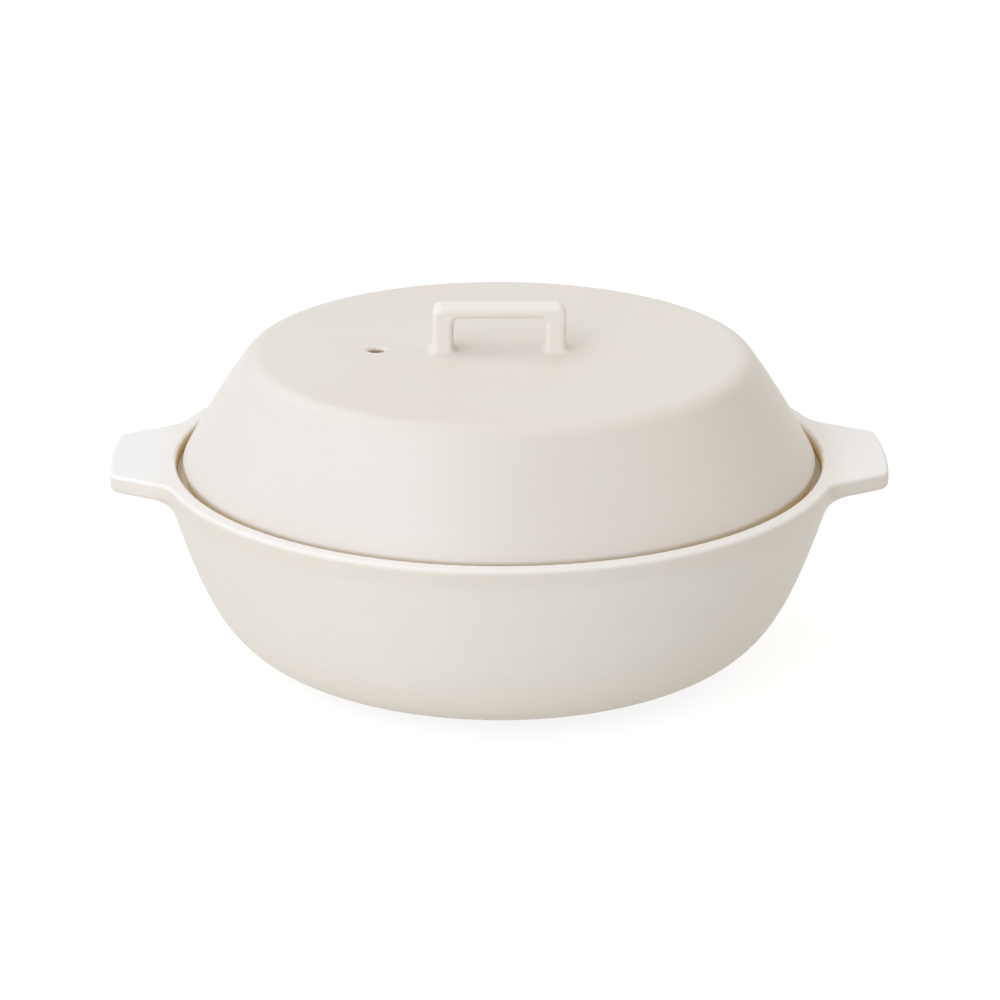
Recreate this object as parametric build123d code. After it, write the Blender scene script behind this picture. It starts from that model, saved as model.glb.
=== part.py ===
"""A lidded clay pot for the stove and the table.

The pot is a wide fired-clay bowl with a flat lug on each side. A ledge runs
round the inside of its rim, and a cone-sided lid with a flat top rests on it.
The lid carries a squared loop handle and has one steam vent. A perforated
plate on three feet stands on the floor of the bowl, for steaming.

Lengths are in millimetres and angles in degrees. The pot stands on z = 0 with
its centre on the Z axis, its lugs lie along X, and the vent is on the -X side.
"""

import os
from math import cos, hypot, radians, sin, tan

from build123d import *

# Bowl
overall_width = 315.0
rim_height = 85.5
rim_width = 7.1
rim_outer_round = 1.6
rim_inner_round = 1.4
rim_lean_angle = 16.6
rim_pull_share = 0.912
base_radius = 61.3
base_rise_angle = 8.8
base_pull_share = 0.655
bowl_wall = 6.5
foot_width = 11.0
foot_recess = 1.2

# Ledge inside the rim, which the lid rests on
ledge_depth = 6.5
ledge_width = 9.0
ledge_lip = 3.0
ledge_slope_angle = 45.0
ledge_edge_round = 1.0
step_taper = 0.8
step_foot_round = 0.8

# Lugs
lug_length = 19.1
lug_tip_width = 51.4
lug_root_width = 73.6
lug_root_depth = 18.0
lug_thickness = 7.8
lug_end_bulge = 1.7
lug_corner_round = 5.5
lug_under_round = 3.0
lug_blend_round = 12.0
lug_joint_offset = 1.2

# Lid
lid_gap = 2.9
lid_edge_depth = 0.3
lid_foot_taper = 1.1
lid_height = 44.0
lid_side_run = 27.8
lid_side_bulge = 1.0
lid_wall = 6.5
lid_shoulder_round = 9.0
lid_edge_round = 2.5
lid_foot_round = 1.0
lid_hollow_round = 5.0

# Steam vent
vent_offset = 49.5
vent_radius = 3.1
vent_lip_round = 2.0

# Lid handle
handle_width = 53.7
handle_depth = 11.6
handle_height = 19.0
handle_leg = 8.4
handle_bar = 5.0
handle_outer_round = 4.0
handle_inner_round = 2.5
handle_edge_share = 0.44
handle_foot_round = 2.4
handle_bed_margin = 0.4
handle_bed_depth = 1.0

# Steaming plate
plate_gap = 30.3
plate_thickness = 6.0
plate_edge_round = 2.0
plate_stand = 16.0
plate_foot_inset = 9.3
plate_foot_radius = 5.0
plate_foot_top_radius = 6.5
plate_foot_round = 0.8
plate_foot_count = 3
plate_foot_ring = 2
plate_hole_radius = 4.5
plate_hole_round = 0.8
plate_hole_margin = 13.0
plate_ring_step = 6

# How far cutting shapes reach past what they cut, and how near an edge counts as found
overrun = 10.0
touch = 0.01

handle_edge_round = handle_bar * handle_edge_share
lug_reach = overall_width / 2
rim_radius = lug_reach - lug_length
lug_joint = rim_radius + lug_joint_offset
rim_inner_radius = rim_radius - rim_width
ledge_inner_radius = rim_inner_radius - ledge_width
ledge_height = rim_height - ledge_depth
lid_radius = rim_inner_radius - lid_gap
lid_top_radius = lid_radius - lid_side_run
lid_edge_height = rim_height - lid_edge_depth
lid_top_height = rim_height + lid_height
plate_radius = ledge_inner_radius - plate_gap
plate_foot_circle = base_radius - plate_foot_inset
plate_hole_spacing = plate_foot_circle / plate_foot_ring
plate_hole_rings = int((plate_radius - plate_hole_margin) / plate_hole_spacing)


def turned(section):
    """Turn a face drawn as radius and height about the Z axis."""
    return revolve(Plane.YZ * section, Axis.Z)


def moved_in(points, wall):
    """Move a run of points to its left by a wall, so that each leg stays parallel to itself."""
    legs = [(Vector(*end) - Vector(*start)).normalized() for start, end in zip(points, points[1:])]
    lefts = [leg.rotate(Axis.Z, 90) for leg in legs]
    moved = []
    for point, before, after in zip(points, lefts[:1] + lefts, lefts + lefts[-1:]):
        shift = (before + after) * (wall / (1 + before.dot(after)))
        moved.append((point[0] + shift.X, point[1] + shift.Y))
    return moved


def rounded(section, radius, height, corner_round):
    """Round the corner of a face that lies nearest to a radius and height."""
    corner = min(section.vertices(), key=lambda v: hypot(v.X - radius, v.Y - height))
    return fillet(corner, corner_round)


def edges_at(solid, height):
    """Find the edges of a solid that lie level at a height."""
    return solid.edges().filter_by_position(Axis.Z, height - touch, height + touch)


def ring_edges(solid, radius, height):
    """Find the round edges of a solid that have a radius, at a height."""
    rings = edges_at(solid, height).filter_by(GeomType.CIRCLE)
    return [ring for ring in rings if abs(ring.radius - radius) < touch]


def bowl_points():
    """Place the middle of the base and the four points that pull the bowl's side."""
    rise, lean = radians(base_rise_angle), radians(rim_lean_angle)
    base_pull = (rim_radius - base_radius) * base_pull_share
    rim_pull = rim_height * rim_pull_share
    return [
        (0, 0),
        (base_radius, 0),
        (base_radius + base_pull * cos(rise), base_pull * sin(rise)),
        (rim_radius - rim_pull * sin(lean), rim_height - rim_pull * cos(lean)),
        (rim_radius, rim_height),
    ]


def bowl_section(points):
    """Draw half of the bowl as if it were solid."""
    middle, *side = points
    top = (0, side[-1][1])
    return make_face(Bezier(*side) + Polyline(side[-1], top, middle, side[0]))


def bowl_space():
    """Make the space inside the bowl, which leaves the ledge standing and steps out above it."""
    lip_height = ledge_height - ledge_lip
    ledge_drop = ledge_width * tan(radians(ledge_slope_angle))
    ledge_corners = [
        (ledge_inner_radius, ledge_height),
        (ledge_inner_radius, lip_height),
        (rim_inner_radius, lip_height - ledge_drop),
        (rim_inner_radius, ledge_height),
    ]
    step_foot = rim_inner_radius - step_taper
    step_corners = [
        (0, ledge_height),
        (step_foot, ledge_height),
        (rim_inner_radius, rim_height),
        (rim_inner_radius, rim_height + overrun),
        (0, rim_height + overrun),
    ]
    hollow = bowl_section(moved_in(bowl_points(), bowl_wall))
    above = Pos(0, ledge_height) * Rectangle(rim_radius, rim_height, align=Align.MIN)
    space = hollow - above - make_face(Polyline(*ledge_corners, close=True))
    space += make_face(Polyline(*step_corners, close=True))
    space = rounded(space, ledge_inner_radius, ledge_height, ledge_edge_round)
    space = rounded(space, ledge_inner_radius, lip_height, ledge_edge_round)
    space = rounded(space, step_foot, ledge_height, step_foot_round)
    return turned(space)


def foot_recess_space():
    """Make the shallow space under the base, inside the flat foot."""
    inner = base_radius - foot_width
    corners = [(0, 0), (inner, 0), (inner - foot_recess, foot_recess), (0, foot_recess)]
    return turned(make_face(Polyline(*corners, close=True)))


def lug_slab():
    """Make the plain slab of the lug on the +X side, with its root buried in the bowl's side."""
    widening = (lug_root_width - lug_tip_width) / 2 / lug_length
    root = rim_radius - lug_root_depth
    root_half = lug_root_width / 2 + widening * lug_root_depth
    corner = lug_reach - lug_end_bulge
    corner_half = lug_tip_width / 2 + widening * lug_end_bulge
    corners = [(corner, -corner_half), (root, -root_half), (root, root_half), (corner, corner_half)]
    end = ThreePointArc(corners[-1], (lug_reach, 0), corners[0])
    plan = make_face(end + Polyline(*corners))
    plan = fillet(plan.vertices().sort_by(Axis.X)[-2:], lug_corner_round)
    underside = rim_height - lug_thickness
    slab = extrude(Pos(0, 0, underside) * plan, lug_thickness)
    return fillet(edges_at(slab, underside).sort_by(Axis.X)[1:], lug_under_round)


def pot_body():
    """Make the bowl and both lugs as one body of clay, blended together and hollowed out."""
    bowl = turned(bowl_section(bowl_points()))
    right_lug = lug_slab()
    left_lug = mirror(right_lug, about=Plane.YZ)
    body = bowl + right_lug + left_lug
    body = fillet(new_edges(bowl, right_lug, left_lug, combined=body), lug_blend_round)
    body = fillet(edges_at(body, rim_height), rim_outer_round)
    body = body - bowl_space() - foot_recess_space()
    return fillet(ring_edges(body, rim_inner_radius, rim_height), rim_inner_round)


def lug_side(side):
    """Make a block that holds all of one lug beyond its joint: +1 is the right lug, -1 the left."""
    block = Box(lug_reach, overall_width, rim_height * 2)
    return Pos(side * (lug_joint + lug_reach / 2), 0, rim_height) * block


def lid_section(points):
    """Draw half of the lid as if it were solid, from the places of its foot, edge, shoulder and middle."""
    foot, edge, shoulder, middle = points
    side = SagittaArc(edge, shoulder, -lid_side_bulge)
    return make_face(side + Polyline(shoulder, middle, (0, foot[1]), foot, edge))


def lid_shell_body():
    """Make the lid's shell, with its foot on the ledge."""
    foot = (lid_radius - lid_foot_taper, ledge_height)
    edge = (lid_radius, lid_edge_height)
    shoulder = (lid_top_radius, lid_top_height)
    middle = (0, lid_top_height)
    outside = lid_section([foot, edge, shoulder, middle])
    outside = rounded(outside, *shoulder, lid_shoulder_round)
    outside = rounded(outside, *edge, lid_edge_round)
    below = (lid_radius, ledge_height - overrun)
    inner_points = moved_in([below, edge, shoulder, middle], lid_wall)
    inside = rounded(lid_section(inner_points), *inner_points[2], lid_hollow_round)
    shell = outside - inside
    shell = rounded(shell, *foot, lid_foot_round)
    shell = rounded(shell, inner_points[0][0], ledge_height, lid_foot_round)
    return turned(shell)


def handle_loop():
    """Make the squared loop of the lid's handle, with its legs reaching down into the lid's top."""
    sink = lid_wall / 2
    bottom = lid_top_height - sink
    stand = (Align.CENTER, Align.MIN)
    outer = Pos(0, bottom) * Rectangle(handle_width, handle_height + sink, align=stand)
    outer = fillet(outer.vertices().sort_by(Axis.Y)[-2:], handle_outer_round)
    gap_height = handle_height - handle_bar + sink
    gap = Pos(0, bottom) * Rectangle(handle_width - 2 * handle_leg, gap_height, align=stand)
    gap = fillet(gap.vertices().sort_by(Axis.Y)[-2:], handle_inner_round)
    loop = extrude(Plane.XZ * (outer - gap), handle_depth / 2, both=True)
    front, *_, back = loop.faces().sort_by(Axis.Y)
    edges = [edge for edge in front.edges() + back.edges() if edge.center().Z > bottom + touch]
    return fillet(edges, handle_edge_round)


def lid_body():
    """Make the lid and its handle as one body of clay, blended together, with the vent cut through."""
    shell = lid_shell_body()
    loop = handle_loop()
    body = shell + loop
    seams = new_edges(shell, loop, combined=body)
    feet = [seam for seam in seams if seam.center().Z > lid_top_height - touch]
    body = fillet(feet, handle_foot_round)
    body -= Pos(-vent_offset, 0, lid_top_height) * Cylinder(vent_radius, lid_wall * 2 + overrun)
    return fillet(ring_edges(body, vent_radius, lid_top_height), vent_lip_round)


def handle_side():
    """Make a block that holds all of the handle above the lid's top, and a shallow bed under each foot."""
    foot_reach = handle_foot_round + handle_bed_margin
    depth = handle_depth + 2 * foot_reach
    stand = (Align.CENTER, Align.CENTER, Align.MIN)
    block = Box(handle_width + 2 * foot_reach, depth, handle_height * 2, align=stand)
    bed = Box(handle_leg + 2 * foot_reach, depth, handle_height, align=stand)
    leg_offset = (handle_width - handle_leg) / 2
    for side in (1, -1):
        block += Pos(side * leg_offset, 0, -handle_bed_depth) * bed
    return Pos(0, 0, lid_top_height) * block


def plate_hole_places():
    """List the places of the plate's holes: one in the middle, and rings that grow by a step.

    The ring that the feet stand on is turned by half its spacing, so that they miss its holes.
    """
    places = [Location((0, 0, 0))]
    for ring in range(1, plate_hole_rings + 1):
        holes = plate_ring_step * ring
        turn = 360 / holes / 2 if ring == plate_foot_ring else 0
        places += PolarLocations(plate_hole_spacing * ring, holes, turn)
    return places


def steamer_plate():
    """Make the perforated plate, at the height where its feet hold it over the bowl's floor."""
    underside = bowl_wall + plate_stand
    stand = (Align.CENTER, Align.CENTER, Align.MIN)
    plate = Pos(0, 0, underside) * Cylinder(plate_radius, plate_thickness, align=stand)
    plate = fillet(plate.edges().filter_by(GeomType.CIRCLE), plate_edge_round)
    hole = Pos(0, 0, underside) * Cylinder(plate_hole_radius, plate_thickness, align=stand)
    plate -= [place * hole for place in plate_hole_places()]
    mouths = edges_at(plate, underside + plate_thickness)
    return fillet([m for m in mouths if abs(m.radius - plate_hole_radius) < touch], plate_hole_round)


def plate_feet():
    """Make the plate's feet, standing on the bowl's floor in a ring."""
    foot = Cone(plate_foot_radius, plate_foot_top_radius, plate_stand, align=(Align.CENTER, Align.CENTER, Align.MIN))
    foot = Pos(0, 0, bowl_wall) * fillet(ring_edges(foot, plate_foot_radius, 0), plate_foot_round)
    return [place * foot for place in PolarLocations(plate_foot_circle, plate_foot_count)]


def all_pieces():
    """Make every piece of the pot, under its name."""
    pot, lid = pot_body(), lid_body()
    pieces = {
        "pot_bowl": pot - lug_side(1) - lug_side(-1),
        "handle_right": pot & lug_side(1),
        "handle_left": pot & lug_side(-1),
        "lid_shell": lid - handle_side(),
        "lid_handle": lid & handle_side(),
        "steamer_plate": steamer_plate(),
    }
    for number, foot in enumerate(plate_feet(), 1):
        pieces[f"plate_foot_{number}"] = foot
    return pieces


if __name__ == "__main__":
    os.makedirs("parts", exist_ok=True)
    for name, piece in all_pieces().items():
        export_step(piece, f"parts/{name}.step")
        print(name, round(piece.volume), "mm3")
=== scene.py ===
"""A studio view of a lidded clay pot, with its glazes built up from nodes.

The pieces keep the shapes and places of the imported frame. This script gives each
one its glaze, stands the pot on a pale floor, lights it and frames it. Lengths are
in metres and angles in degrees.
"""

import logging
from dataclasses import dataclass, replace
from enum import Enum
from math import atan, cos, radians, sin
from typing import Union

import bpy
from mathutils import Matrix, Vector

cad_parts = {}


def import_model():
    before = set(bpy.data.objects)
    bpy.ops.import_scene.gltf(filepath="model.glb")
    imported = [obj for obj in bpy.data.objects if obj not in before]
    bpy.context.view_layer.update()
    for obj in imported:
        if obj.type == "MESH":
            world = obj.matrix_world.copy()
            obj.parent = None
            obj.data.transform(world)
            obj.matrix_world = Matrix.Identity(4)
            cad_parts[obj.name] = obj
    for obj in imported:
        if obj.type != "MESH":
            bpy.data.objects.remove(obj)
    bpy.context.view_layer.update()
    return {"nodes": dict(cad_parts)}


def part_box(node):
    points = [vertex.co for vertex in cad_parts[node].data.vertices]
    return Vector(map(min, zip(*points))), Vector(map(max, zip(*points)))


REPORT = logging.getLogger("clay_pot")

# A display's curve is straight up to its foot and a power above it.
CURVE_FOOT = 0.04045
CURVE_SLOPE = 12.92
CURVE_OFFSET = 0.055
CURVE_POWER = 2.4

Socket = bpy.types.NodeSocket
Feed = Union[Socket, float, tuple]


class Tint(Enum):
    """The colours of the clay, its glazes, its painted highlights and shade, and the lamps, as display values
    from 0 to 255.
    """

    BODY_CREAM = (236, 230, 219)
    BODY_PALE = (247, 244, 240)
    BODY_DEEP = (229, 221, 206)
    THIN_GLAZE = (241, 229, 206)
    # Painted highlights: the rim's top and the lugs' tops, paler where light falls on them.
    RIM_HIGHLIGHT = (245, 242, 238)
    LUG_HIGHLIGHT = (247, 246, 245)
    LID_CREAM = (230, 225, 217)
    LID_PALE = (236, 231, 225)
    LID_DEEP = (225, 217, 207)
    HANDLE_CREAM = (246, 242, 233)
    # Bare clay with painted warm shade in the seat and at the lid's foot, then painted shade deep in the gap.
    CLAY_AND_WARM_SHADE = (240, 214, 148)
    DEEP_GAP_SHADE = (190, 152, 90)
    BARE_LEDGE = (246, 240, 230)
    # Bare clay in the vent, darkened as painted shade.
    VENT_CLAY_SHADE = (178, 162, 130)
    FOOT_CLAY = (214, 190, 158)
    IRON_SPECK = (168, 140, 104)
    WHITE = (255, 255, 255)
    COOL_LIGHT = (247, 249, 255)
    WARM_LIGHT = (255, 243, 216)

    @property
    def linear(self) -> tuple[float, float, float, float]:
        """Work out the colour as linear light.

        Returns:
            Its red, green and blue, and full alpha.
        """
        shares = [level / 255 for level in self.value]
        curved = [((share + CURVE_OFFSET) / (1 + CURVE_OFFSET)) ** CURVE_POWER for share in shares]
        light = [s / CURVE_SLOPE if s <= CURVE_FOOT else c for s, c in zip(shares, curved)]
        return (*light, 1.0)


class Recipe:
    """The node tree of one material or world, with short calls for the nodes that glazes are made of."""

    def __init__(self, block: Union[bpy.types.Material, bpy.types.World], output: str) -> None:
        """Start an empty node tree.

        Args:
            block: The new material or world that the tree belongs to.
            output: The type of its output node without its ShaderNode prefix.
        """
        self.block = block
        self.block.use_nodes = True
        self.nodes = self.block.node_tree.nodes
        self.links = self.block.node_tree.links
        self.nodes.clear()
        self.output = self.nodes.new("ShaderNode" + output)

    @classmethod
    def for_material(cls, name: str) -> "Recipe":
        """Start the recipe of a new material with a name."""
        return cls(bpy.data.materials.new(name), "OutputMaterial")

    def feed(self, target: Socket, value: Feed) -> None:
        """Join a socket to an input, or write a plain value into it.

        Args:
            target: The input that is fed.
            value: A socket, a number or a colour.
        """
        if isinstance(value, bpy.types.NodeSocket):
            self.links.new(value, target)
        else:
            target.default_value = value

    def node(self, kind: str, inputs: dict[Union[int, str], Feed], **settings: object) -> bpy.types.Node:
        """Add a node.

        Args:
            kind: The node's type without its ShaderNode prefix.
            inputs: What feeds each of its inputs.
            settings: Its other settings.

        Returns:
            The new node.
        """
        made = self.nodes.new("ShaderNode" + kind)
        for setting, value in settings.items():
            setattr(made, setting, value)
        for key, value in inputs.items():
            self.feed(made.inputs[key], value)
        return made

    def math(self, operation: str, first: Feed, second: Feed = 0.0, third: Feed = 0.0) -> Socket:
        """Work out one sum.

        Args:
            operation: The name of the sum.
            first: Its first value.
            second: Its second value, if it has one.
            third: Its third value, if it has one.

        Returns:
            The result.
        """
        return self.node("Math", {0: first, 1: second, 2: third}, operation=operation).outputs[0]

    def product(self, *shares: Feed) -> Socket:
        """Multiply two or more shares.

        Args:
            shares: The shares.

        Returns:
            Their product.
        """
        result, *others = shares
        for share in others:
            result = self.math("MULTIPLY", result, share)
        return result

    def ramp(self, value: Feed, low: float, high: float, start: float = 0.0, end: float = 1.0) -> Socket:
        """Turn a value smoothly into a share, as it goes from low to high.

        Args:
            value: The value that is read.
            low: Where the share is at its start.
            high: Where the share reaches its end, which may be below low.
            start: The share at low.
            end: The share at high.

        Returns:
            The share.
        """
        inputs = {0: value, 1: low, 2: high, 3: start, 4: end}
        return self.node("MapRange", inputs, interpolation_type="SMOOTHSTEP").outputs[0]

    def blend(self, share: Feed, first: Feed, second: Feed) -> Socket:
        """Blend two colours.

        Args:
            share: How much of the second colour shows.
            first: The first colour.
            second: The second colour.

        Returns:
            The blended colour.
        """
        inputs = {0: share, 6: first, 7: second}
        return self.node("Mix", inputs, data_type="RGBA").outputs[2]

    def lay(self, share: Socket, strength: float, under: Feed, tint: Tint) -> Socket:
        """Lay a tint over a colour.

        Args:
            share: Where the tint lies.
            strength: How well it covers where the share is full.
            under: The colour under it.
            tint: The tint.

        Returns:
            The new colour.
        """
        return self.blend(self.product(share, strength), under, tint.linear)

    def noise(self, place: Feed, scale: float, detail: float = 2.0, roughness: float = 0.5) -> Socket:
        """Read soft noise.

        Args:
            place: Where it is read.
            scale: How many lumps it has in a unit of length.
            detail: How many finer layers it has.
            roughness: How strong the finer layers are.

        Returns:
            The noise, around a half.
        """
        inputs = {"Vector": place, "Scale": scale, "Detail": detail, "Roughness": roughness}
        return self.node("TexNoise", inputs).outputs[0]


@dataclass(frozen=True)
class TurnedPlace:
    """A point's place on a turned piece, as the sockets that a recipe reads.

    The rings grow across the turning lines in their first and last parts, and go
    slowly round them in the middle one.
    """

    point: Socket
    flat: Socket
    radius: Socket
    height: Socket
    side: Socket
    rings: Socket

    @classmethod
    def read(cls, recipe: Recipe, turn_reach: float = 0.004) -> "TurnedPlace":
        """Read a point's place round the pot's axis.

        Args:
            recipe: The recipe that reads it.
            turn_reach: How far the rings' middle part goes in a radian's turn.

        Returns:
            The point, its place in plan, its radius and height, how far it is from the
            middle along X, and its place among the rings.
        """
        point = recipe.node("TexCoord", {}).outputs["Object"]
        across, back, height = recipe.node("SeparateXYZ", {0: point}).outputs
        flat = recipe.node("CombineXYZ", {0: across, 1: back}).outputs[0]
        radius = recipe.node("VectorMath", {0: flat}, operation="LENGTH").outputs["Value"]
        turn = recipe.math("ARCTAN2", recipe.math("ABSOLUTE", back), across)
        slow_turn = recipe.product(turn, turn_reach)
        rings = recipe.node("CombineXYZ", {0: radius, 1: slow_turn, 2: height}).outputs[0]
        return cls(point, flat, radius, height, recipe.math("ABSOLUTE", across), rings)

    def unturned(self) -> "TurnedPlace":
        """Give the same place on a piece that was shaped by hand and has no turning lines."""
        return replace(self, rings=self.point)


@dataclass(frozen=True)
class Marks:
    """One kind of soft mark in a glaze: noise that shows from one of its levels to another."""

    scale: float
    detail: float
    low: float
    high: float
    roughness: float = 0.5

    def share(self, recipe: Recipe, place: Socket) -> Socket:
        """Read how strongly the marks show at a place."""
        return recipe.ramp(recipe.noise(place, self.scale, self.detail, self.roughness), self.low, self.high)


@dataclass(frozen=True)
class Specks:
    """Small iron specks in a glaze, one in the middle of some of the cells of a pattern."""

    strength: float = 0.35
    cell_scale: float = 260.0
    bare_cells_share: float = 0.82
    core_share: float = 0.03
    edge_share: float = 0.16
    fading_scale: float = 180.0

    def over(self, recipe: Recipe, place: TurnedPlace, colour: Socket) -> Socket:
        """Scatter the specks over a colour.

        Args:
            recipe: The recipe that holds the nodes.
            place: Where they are read.
            colour: The colour under them.

        Returns:
            The colour with its specks.
        """
        cells = recipe.node("TexVoronoi", {"Vector": place.point, "Scale": self.cell_scale})
        chance = recipe.node("SeparateColor", {0: cells.outputs["Color"]}).outputs[0]
        chosen = recipe.math("GREATER_THAN", chance, self.bare_cells_share)
        dot = recipe.ramp(cells.outputs["Distance"], self.edge_share, self.core_share)
        fading = recipe.noise(place.point, self.fading_scale)
        return recipe.lay(recipe.product(dot, chosen, fading), self.strength, colour, Tint.IRON_SPECK)


@dataclass(frozen=True)
class Relief:
    """The turning lines and the grain that can be felt in a fired surface."""

    ring_depth: float = 0.00006
    grain_depth: float = 0.00004
    ring_scale: float = 520.0
    grain_scale: float = 1400.0
    detail: float = 3.0
    ring_roughness: float = 0.55
    grain_roughness: float = 0.6

    def normal(self, recipe: Recipe, place: TurnedPlace) -> Socket:
        """Raise the turning lines and the grain.

        Args:
            recipe: The recipe that holds the nodes.
            place: Where they are read.

        Returns:
            The bumped normal.
        """
        rings = recipe.noise(place.rings, self.ring_scale, self.detail, self.ring_roughness)
        grain = recipe.noise(place.point, self.grain_scale, self.detail, self.grain_roughness)
        ring_inputs = {"Strength": 1.0, "Distance": self.ring_depth, "Height": rings}
        ringed = recipe.node("Bump", ring_inputs).outputs[0]
        grain_inputs = {"Strength": 1.0, "Distance": self.grain_depth, "Height": grain, "Normal": ringed}
        return recipe.node("Bump", grain_inputs).outputs[0]


@dataclass(frozen=True)
class Glaze:
    """A glaze on thrown clay: its tones, its gloss and the marks that throwing and firing leave."""

    name: str
    tone: Tint
    pale: Tint
    deep: Tint
    roughness: float
    mottle_share: float = 0.5
    line_share: float = 0.22
    grain_share: float = 0.25
    clouds: Marks = Marks(scale=14.0, detail=3.0, low=0.35, high=0.7)
    drift: Marks = Marks(scale=5.0, detail=1.0, low=0.3, high=0.75)
    lines: Marks = Marks(scale=900.0, detail=3.0, low=0.3, high=0.75, roughness=0.6)
    grain: Marks = Marks(scale=2600.0, detail=2.0, low=0.3, high=0.8)
    specks: Specks = Specks()
    relief: Relief = Relief()
    gloss_index: float = 1.5
    bare_roughness: float = 0.85

    def mottled(self, recipe: Recipe, place: TurnedPlace) -> Socket:
        """Mix the glaze's tones in soft clouds, turning lines and fine grain.

        Args:
            recipe: The recipe that holds the nodes.
            place: Where they are read.

        Returns:
            The colour.
        """
        clouded = self.clouds.share(recipe, place.point)
        colour = recipe.lay(clouded, self.mottle_share, self.tone.linear, self.deep)
        colour = recipe.lay(self.drift.share(recipe, place.point), self.mottle_share, colour, self.pale)
        colour = recipe.lay(self.lines.share(recipe, place.rings), self.line_share, colour, self.deep)
        return recipe.lay(self.grain.share(recipe, place.point), self.grain_share, colour, self.pale)

    def part_bare(self, recipe: Recipe, bare: Socket) -> Socket:
        """Give the roughness of a piece whose clay is bare in places."""
        return recipe.ramp(bare, 0.0, 1.0, self.roughness, self.bare_roughness)

    def finish(
        self, recipe: Recipe, place: TurnedPlace, colour: Socket, roughness: Feed
    ) -> bpy.types.Material:
        """Close the recipe with a glazed shader.

        Args:
            recipe: The recipe that holds the nodes.
            place: Where its relief is read.
            colour: The surface's colour.
            roughness: Its roughness.

        Returns:
            The finished material.
        """
        inputs = {"Base Color": colour, "Roughness": roughness, "IOR": self.gloss_index}
        shader = recipe.node("BsdfPrincipled", inputs | {"Normal": self.relief.normal(recipe, place)})
        recipe.links.new(shader.outputs[0], recipe.output.inputs[0])
        return recipe.block


@dataclass(frozen=True)
class Seat:
    """The bowl's ledge and the wall above it, which the lid's foot drops into and glaze is kept off.

    The wall's bare clay carries painted warm shade, darker towards the ledge. The corner and
    that deeper painted shade are measured up from the ledge, and the wall's glazed edge from the rim.
    """

    ledge_height: float
    rim_height: float
    ledge_radius: float = 0.1216
    wall_radius: float = 0.1324
    ledge_depth: float = 0.004
    ledge_fade: float = 0.0005
    corner_low: float = 0.0006
    corner_high: float = 0.0016
    wall_past_rim: float = 0.0004
    wall_below_rim: float = 0.0024
    edge_wander: float = 0.0012
    edge_scale: float = 60.0
    # Where the wall's painted shade deepens towards the ledge.
    deep_shade_low: float = 0.0015
    deep_shade_high: float = 0.0045
    ledge_cover: float = 0.8
    clay_shade_cover: float = 0.95

    def ledge(self, recipe: Recipe, place: TurnedPlace) -> Socket:
        """Find the ledge.

        Args:
            recipe: The recipe that holds the nodes.
            place: Where it is read.

        Returns:
            The share of ledge.
        """
        within = recipe.math("LESS_THAN", place.radius, self.wall_radius)
        outward = recipe.math("GREATER_THAN", place.radius, self.ledge_radius)
        low = self.ledge_height - self.ledge_depth
        above = recipe.ramp(place.height, low, low + self.ledge_fade)
        corner = (self.ledge_height + self.corner_high, self.ledge_height + self.corner_low)
        below_corner = recipe.ramp(place.height, *corner)
        return recipe.product(within, outward, above, below_corner)

    def wall(self, recipe: Recipe, place: TurnedPlace) -> Socket:
        """Find the wall above the ledge, up to a slightly uneven edge of the rim's glaze.

        Args:
            recipe: The recipe that holds the nodes.
            place: Where it is read.

        Returns:
            The share of wall.
        """
        within = recipe.math("LESS_THAN", place.radius, self.wall_radius)
        wander = recipe.noise(place.point, self.edge_scale)
        uneven = recipe.math("MULTIPLY_ADD", wander, self.edge_wander, place.height)
        top = recipe.ramp(uneven, self.rim_height + self.wall_past_rim, self.rim_height - self.wall_below_rim)
        corner = (self.ledge_height + self.corner_low, self.ledge_height + self.corner_high)
        return recipe.product(within, top, recipe.ramp(place.height, *corner))

    def bared(self, recipe: Recipe, place: TurnedPlace, colour: Socket) -> tuple[Socket, Socket]:
        """Lay bare the ledge and the wall, and paint warm shade on the wall, darker towards the ledge.

        Args:
            recipe: The recipe that holds the nodes.
            place: Where they are read.
            colour: The glaze's colour.

        Returns:
            The colour with the seat in it, and the share of bare clay.
        """
        ledge, wall = self.ledge(recipe, place), self.wall(recipe, place)
        colour = recipe.lay(ledge, self.ledge_cover, colour, Tint.BARE_LEDGE)
        depth = (self.ledge_height + self.deep_shade_high, self.ledge_height + self.deep_shade_low)
        # Painted shade: the wall's bare clay tinted amber as warm shade, darker deep in the gap.
        clay_and_painted_shade = recipe.lay(recipe.ramp(place.height, *depth), 1.0, Tint.CLAY_AND_WARM_SHADE.linear, Tint.DEEP_GAP_SHADE)
        colour = recipe.blend(recipe.product(wall, self.clay_shade_cover), colour, clay_and_painted_shade)
        return colour, recipe.math("MAXIMUM", ledge, wall)


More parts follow.
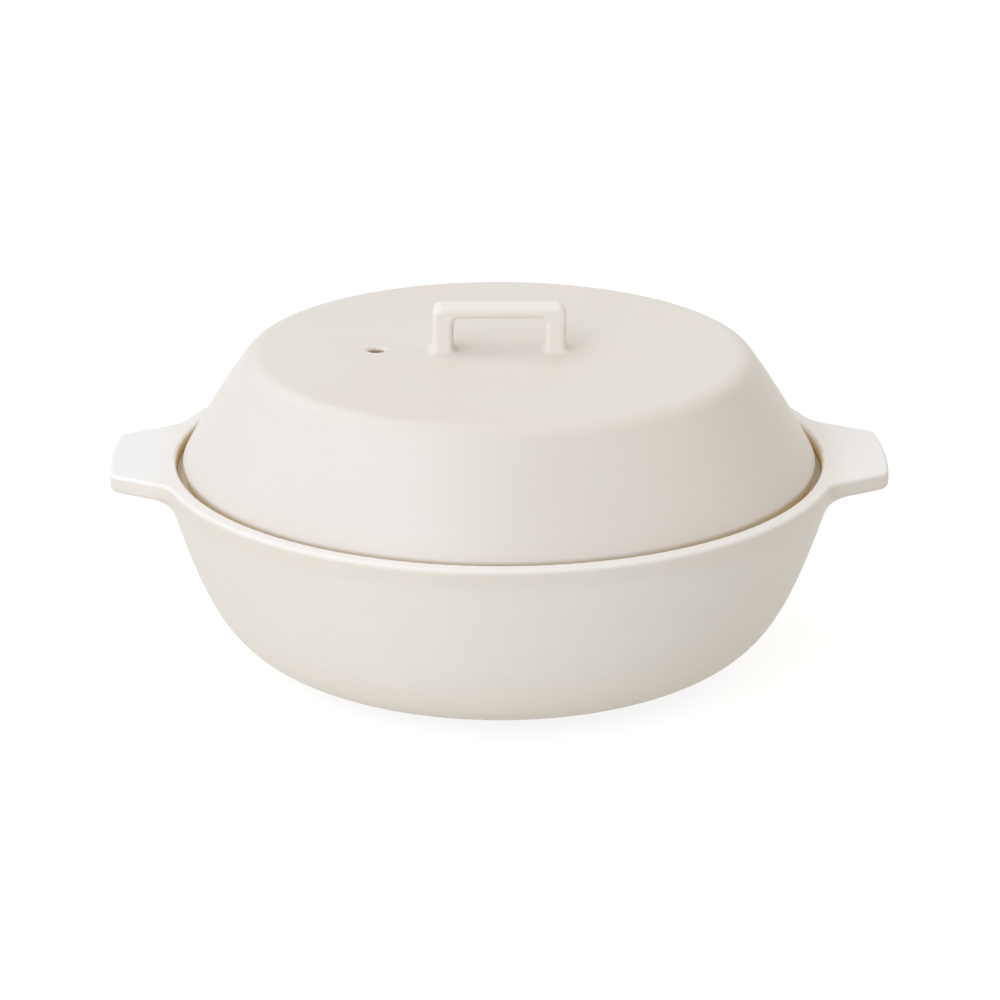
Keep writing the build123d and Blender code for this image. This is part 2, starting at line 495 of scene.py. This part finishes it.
@dataclass(frozen=True)
class Pot:
    """The bowl and its lugs.

    The painted highlight on the rim and the painted shade band under it are measured down
    from the rim, and each cover is how well one colour hides the one under it.
    """

    rim_height: float
    ledge_height: float
    rim_highlight_band: float = 0.0017
    rim_highlight_flat: float = 0.0003
    rim_highlight_cover: float = 0.95
    # A painted shade band on the side under the rim.
    under_rim_shade_start: float = 0.012
    under_rim_shade_full: float = 0.0051
    under_rim_shade_cover: float = 0.3
    thin_height: float = 0.045
    thin_cover: float = 0.45
    lug_start: float = 0.132
    lug_full: float = 0.142
    lug_side_highlight: float = 0.15
    foot_height: float = 0.0009
    sole_height: float = 0.0002
    glaze: Glaze = Glaze(
        "body glaze", Tint.BODY_CREAM, Tint.BODY_PALE, Tint.BODY_DEEP, roughness=0.52,
        specks=Specks(strength=0.22))

    def rimmed(self, recipe: Recipe, place: TurnedPlace, colour: Socket) -> Socket:
        """Paint darker, warmer shade on the side under the rim, and paint highlights on the rim and the lugs.

        Args:
            recipe: The recipe that holds the nodes.
            place: Where they are read.
            colour: The glaze's colour.

        Returns:
            The new colour.
        """
        # Painted shade: a darker, warmer band on the side under the rim.
        under_rim_shade = recipe.ramp(place.height, self.rim_height - self.under_rim_shade_start, self.rim_height - self.under_rim_shade_full)
        colour = recipe.lay(under_rim_shade, self.under_rim_shade_cover, colour, Tint.BODY_DEEP)
        # Painted highlight: the rim's flat top, paler where light falls on it.
        highlight_top = recipe.ramp(place.height, self.rim_height - self.rim_highlight_band, self.rim_height - self.rim_highlight_flat)
        colour = recipe.lay(highlight_top, self.rim_highlight_cover, colour, Tint.RIM_HIGHLIGHT)
        # Painted highlight on the lugs, full on their tops and faint on their sides.
        on_lug = recipe.ramp(place.side, self.lug_start, self.lug_full)
        lug_highlight_cover = recipe.ramp(highlight_top, 0.0, 1.0, self.lug_side_highlight, self.rim_highlight_cover)
        return recipe.lay(recipe.product(on_lug, lug_highlight_cover), 1.0, colour, Tint.LUG_HIGHLIGHT)

    def material(self) -> bpy.types.Material:
        """Mix the body's glaze, thinner low on the side, with painted highlights on the rim and lugs, painted
        shade under the rim and on the seat's wall, and its bare seat and foot.

        Returns:
            The finished material.
        """
        recipe = Recipe.for_material(self.glaze.name)
        place = TurnedPlace.read(recipe)
        thin = recipe.ramp(place.height, self.thin_height, 0.0)
        colour = recipe.lay(thin, self.thin_cover, self.glaze.mottled(recipe, place), Tint.THIN_GLAZE)
        colour = self.rimmed(recipe, place, self.glaze.specks.over(recipe, place, colour))
        colour, bare = Seat(self.ledge_height, self.rim_height).bared(recipe, place, colour)
        foot = recipe.ramp(place.height, self.foot_height, self.sole_height)
        colour = recipe.lay(foot, 1.0, colour, Tint.FOOT_CLAY)
        roughness = self.glaze.part_bare(recipe, recipe.math("MAXIMUM", bare, foot))
        return self.glaze.finish(recipe, place, colour, roughness)

    def dress(self, nodes: dict[str, bpy.types.Object]) -> list[str]:
        """Give the bowl and its lugs their glaze, and return their names."""
        return coat(nodes, ("pot_bowl", "handle_left", "handle_right"), self.material())


@dataclass(frozen=True)
class Lid:
    """The lid's shell, with its steam vent, and its loop handle.

    The bare clay and painted warm shade at the foot are measured up from the lid's foot, the
    vent's edge out from its wall, its lip down from the lid's top, and the handle's join up from there.
    """

    foot_height: float
    top_height: float
    # The bare clay and painted warm shade at the lid's foot.
    clay_shade_top: float = 0.0058
    clay_shade_full: float = 0.003
    clay_shade_cover: float = 0.6
    vent_offset: float = -0.0495
    vent_radius: float = 0.0031
    vent_near: float = 0.0002
    vent_far: float = 0.0007
    vent_lip_start: float = 0.0007
    vent_lip_full: float = 0.0018
    join_start: float = 0.0002
    join_full: float = 0.003
    glaze: Glaze = Glaze(
        "lid glaze", Tint.LID_CREAM, Tint.LID_PALE, Tint.LID_DEEP, roughness=0.42, mottle_share=0.35,
        specks=Specks(strength=0.2), relief=Relief(ring_depth=0.00002, grain_depth=0.00002))
    handle_glaze: Glaze = Glaze(
        "handle glaze", Tint.HANDLE_CREAM, Tint.BODY_PALE, Tint.LID_DEEP, roughness=0.46, mottle_share=0.2,
        specks=Specks(strength=0.2), relief=Relief(ring_depth=0.000004, grain_depth=0.000006))

    def vent_share(self, recipe: Recipe, place: TurnedPlace) -> Socket:
        """Find the bare wall of the steam vent, below its rounded lip, painted dark as shade in the hole.

        Args:
            recipe: The recipe that holds the nodes.
            place: Where it is read.

        Returns:
            The share of bare clay under painted shade.
        """
        ends = {0: place.flat, 1: (self.vent_offset, 0.0, 0.0)}
        away = recipe.node("VectorMath", ends, operation="DISTANCE").outputs["Value"]
        beside = recipe.ramp(away, self.vent_radius + self.vent_far, self.vent_radius + self.vent_near)
        lip = (self.top_height - self.vent_lip_start, self.top_height - self.vent_lip_full)
        return recipe.product(beside, recipe.ramp(place.height, *lip))

    def material(self) -> bpy.types.Material:
        """Mix the lid's glaze, with its bare foot under painted warm shade and its bare vent under painted
        shade.

        Returns:
            The finished material.
        """
        recipe = Recipe.for_material(self.glaze.name)
        place = TurnedPlace.read(recipe)
        colour = self.glaze.specks.over(recipe, place, self.glaze.mottled(recipe, place))
        # Painted shade: the bare clay at the lid's foot, tinted amber as warm shade beside the gap.
        clay_and_painted_shade = (self.foot_height + self.clay_shade_top, self.foot_height + self.clay_shade_full)
        foot = recipe.ramp(place.height, *clay_and_painted_shade)
        colour = recipe.lay(foot, self.clay_shade_cover, colour, Tint.CLAY_AND_WARM_SHADE)
        # Painted shade: the vent's bare wall, darkened as shade inside the hole.
        vent = self.vent_share(recipe, place)
        colour = recipe.lay(vent, 1.0, colour, Tint.VENT_CLAY_SHADE)
        roughness = self.glaze.part_bare(recipe, recipe.math("MAXIMUM", foot, vent))
        return self.glaze.finish(recipe, place, colour, roughness)

    def handle_material(self) -> bpy.types.Material:
        """Mix the handle's glaze, which runs into the lid's at its feet.

        Returns:
            The finished material.
        """
        recipe = Recipe.for_material(self.handle_glaze.name)
        place = TurnedPlace.read(recipe)
        smooth = place.unturned()
        join = (self.top_height + self.join_start, self.top_height + self.join_full)
        raised = recipe.ramp(place.height, *join)
        tones = self.glaze.mottled(recipe, place), self.handle_glaze.mottled(recipe, smooth)
        colour = self.handle_glaze.specks.over(recipe, place, recipe.blend(raised, *tones))
        return self.handle_glaze.finish(recipe, smooth, colour, self.handle_glaze.roughness)

    def dress(self, nodes: dict[str, bpy.types.Object]) -> list[str]:
        """Give the lid and its handle their glazes, and return their names."""
        shell = coat(nodes, ("lid_shell",), self.material())
        return shell + coat(nodes, ("lid_handle",), self.handle_material())


@dataclass(frozen=True)
class SteamerPlate:
    """The loose plate inside the bowl, on its three feet.

    Their bare soles are measured up from the bowl's floor.
    """

    floor_height: float
    sole_low: float = 0.0004
    sole_high: float = 0.001
    foot_count: int = 3
    glaze: Glaze = Glaze("plate glaze", Tint.LID_CREAM, Tint.LID_PALE, Tint.BODY_DEEP, roughness=0.38)

    def material(self) -> bpy.types.Material:
        """Mix the plate's glaze, with the bare soles of its feet.

        Returns:
            The finished material.
        """
        recipe = Recipe.for_material(self.glaze.name)
        place = TurnedPlace.read(recipe)
        colour = self.glaze.specks.over(recipe, place, self.glaze.mottled(recipe, place))
        bare = (self.floor_height + self.sole_high, self.floor_height + self.sole_low)
        sole = recipe.ramp(place.height, *bare)
        colour = recipe.lay(sole, 1.0, colour, Tint.FOOT_CLAY)
        return self.glaze.finish(recipe, place, colour, self.glaze.part_bare(recipe, sole))

    def dress(self, nodes: dict[str, bpy.types.Object]) -> list[str]:
        """Give the plate and its feet their glaze, and return their names."""
        feet = tuple(f"plate_foot_{number}" for number in range(1, self.foot_count + 1))
        return coat(nodes, ("steamer_plate", *feet), self.material())


def coat(
    nodes: dict[str, bpy.types.Object], names: tuple[str, ...], material: bpy.types.Material
) -> list[str]:
    """Give some of the frame's pieces one material.

    Args:
        nodes: The frame's pieces by name.
        names: The pieces that get it.
        material: The material.

    Returns:
        The names of the pieces.
    """
    for name in names:
        for slot in nodes[name].material_slots:
            slot.material = material
    return list(names)


@dataclass(frozen=True)
class Softbox:
    """A square soft lamp that faces the pot, turned to the right of the front and raised."""

    name: str
    turn_angle: float
    rise_angle: float
    power: float
    tint: Tint
    distance: float = 2.6
    width: float = 1.8

    def build(self, target: Vector) -> bpy.types.Object:
        """Hang the lamp.

        Args:
            target: The point that it faces.

        Returns:
            The lamp.
        """
        light = bpy.data.lights.new(self.name, "AREA")
        light.shape = "SQUARE"
        light.size = self.width
        light.energy = self.power
        light.color = self.tint.linear[:3]
        lamp = bpy.data.objects.new(self.name, light)
        bpy.context.scene.collection.objects.link(lamp)
        turn, rise = radians(self.turn_angle), radians(self.rise_angle)
        reach = Vector((cos(rise) * sin(turn), -cos(rise) * cos(turn), sin(rise))) * self.distance
        lamp.location = target + reach
        lamp.rotation_euler = (-reach).to_track_quat("-Z", "Y").to_euler()
        return lamp


@dataclass(frozen=True)
class Studio:
    """The floor, the lamps and the camera round the pot."""

    rim_height: float
    picture_width: float = 1000.0
    camera_distance: float = 1.515
    camera_rise_angle: float = 18.73
    camera_side_angle: float = 1.2
    camera_roll_angle: float = 0.14324
    focal_pixels: float = 3722.5
    rim_centre_column: float = 498.98
    rim_centre_row: float = 452.36
    sensor_width: float = 36.0
    floor_width: float = 9.0
    floor_drop: float = 0.0001
    floor_grey: float = 0.86
    seen_floor_grey: float = 0.3
    near_glow: float = 0.84
    glow_start: float = 0.5
    glow_full: float = 1.5
    world_level: float = 0.3
    lamps: tuple[Softbox, ...] = (
        Softbox("front left lamp", -30.0, 22.0, 25.6, Tint.COOL_LIGHT),
        Softbox("left lamp", -90.0, 22.0, 3.0, Tint.COOL_LIGHT),
        Softbox("high left lamp", -60.0, 50.0, 16.2, Tint.COOL_LIGHT),
        Softbox("back left lamp", -135.0, 50.0, 15.1, Tint.COOL_LIGHT),
        Softbox("low right lamp", 90.0, 22.0, 3.4, Tint.WARM_LIGHT),
        Softbox("high right lamp", 90.0, 50.0, 9.6, Tint.WARM_LIGHT),
        Softbox("back right lamp", 135.0, 50.0, 4.1, Tint.WARM_LIGHT),
        Softbox("top lamp", 0.0, 88.0, 2.9, Tint.WHITE),
    )

    def camera(self) -> bpy.types.Object:
        """Stand the camera where the rim fills the picture as it should.

        Returns:
            The camera.
        """
        data = bpy.data.cameras.new("camera")
        data.sensor_width = self.sensor_width
        data.lens = self.focal_pixels * self.sensor_width / self.picture_width
        data.shift_x = (self.picture_width / 2 - self.rim_centre_column) / self.picture_width
        data.clip_end = self.floor_width * 2
        camera = bpy.data.objects.new("camera", data)
        bpy.context.scene.collection.objects.link(camera)
        rise = radians(self.camera_rise_angle)
        pitch = rise + atan((self.picture_width / 2 - self.rim_centre_row) / self.focal_pixels)
        spin = Matrix.Rotation(radians(-self.camera_side_angle), 4, "Z")
        offset = Vector((0, -cos(rise), sin(rise))) * self.camera_distance
        stand = Matrix.Translation(Vector((0, 0, self.rim_height))) @ spin @ Matrix.Translation(offset)
        tilt = Matrix.Rotation(radians(90) - pitch, 4, "X")
        camera.matrix_world = stand @ tilt @ Matrix.Rotation(radians(self.camera_roll_angle), 4, "Z")
        bpy.context.scene.camera = camera
        return camera

    def floor_material(self) -> bpy.types.Material:
        """Mix a floor that is seen nearly white, apart from the pot's shadow, and white further out.

        Returns:
            The finished material.
        """
        recipe = Recipe.for_material("studio floor")
        place = TurnedPlace.read(recipe)
        greys = [(grey, grey, grey, 1.0) for grey in (self.floor_grey, self.seen_floor_grey)]
        lit, shade = (recipe.node("BsdfDiffuse", {0: grey}).outputs[0] for grey in greys)
        level = recipe.ramp(place.radius, self.glow_start, self.glow_full, self.near_glow, 1.0)
        glow = recipe.node("Emission", {0: Tint.WHITE.linear, 1: level}).outputs[0]
        self.show(recipe, lit, recipe.node("AddShader", {0: shade, 1: glow}).outputs[0])
        return recipe.block

    def show(self, recipe: Recipe, lit: Socket, seen: Socket) -> None:
        """Close a backdrop's recipe, so that it looks white and lights the pot at its own level.

        Args:
            recipe: The recipe of the floor or the world.
            lit: The shader that lights the pot.
            seen: The shader that the camera, reflections and anything seen through glass show.
        """
        path = recipe.node("LightPath", {}).outputs
        share = recipe.math("MAXIMUM", path["Is Camera Ray"], path["Is Glossy Ray"])
        share = recipe.math("MAXIMUM", share, path["Is Transmission Ray"])
        mixed = recipe.node("MixShader", {0: share, 1: lit, 2: seen}).outputs[0]
        recipe.links.new(mixed, recipe.output.inputs[0])

    def floor(self) -> bpy.types.Object:
        """Lay the floor just under the pot's foot.

        Returns:
            The floor.
        """
        bpy.ops.object.select_all(action="DESELECT")
        bpy.ops.mesh.primitive_plane_add(size=self.floor_width, location=(0, 0, -self.floor_drop))
        floor = bpy.context.object
        floor.name = "floor"
        floor.data.materials.append(self.floor_material())
        return floor

    def world(self) -> bpy.types.World:
        """Surround the pot with even light, under a white backdrop.

        Returns:
            The world.
        """
        world = bpy.data.worlds.new("studio")
        bpy.context.scene.world = world
        recipe = Recipe(world, "OutputWorld")
        lit = recipe.node("Background", {0: Tint.WHITE.linear, 1: self.world_level}).outputs[0]
        seen = recipe.node("Background", {0: Tint.WHITE.linear, 1: 1.0}).outputs[0]
        self.show(recipe, lit, seen)
        return world

    def build(self) -> None:
        """Set up the camera, floor, world and lamps, and show colours as they are."""
        bpy.context.scene.view_settings.view_transform = "Standard"
        self.camera()
        self.floor()
        self.world()
        for lamp in self.lamps:
            lamp.build(Vector((0, 0, self.rim_height)))


def main() -> None:
    """Dress the pot, set up the studio and report each piece."""
    logging.basicConfig(level=logging.INFO, format="%(name)s: %(message)s")
    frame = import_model()
    rim_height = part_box("pot_bowl")[1].z
    lid_low, lid_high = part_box("lid_shell")
    plate_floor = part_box("plate_foot_1")[0].z
    parts = (Pot(rim_height, lid_low.z), Lid(lid_low.z, lid_high.z), SteamerPlate(plate_floor))
    for part in parts:
        for name in part.dress(frame["nodes"]):
            REPORT.info("%s: dressed %s", type(part).__name__, name)
    Studio(rim_height).build()


if __name__ == "__main__":
    main()
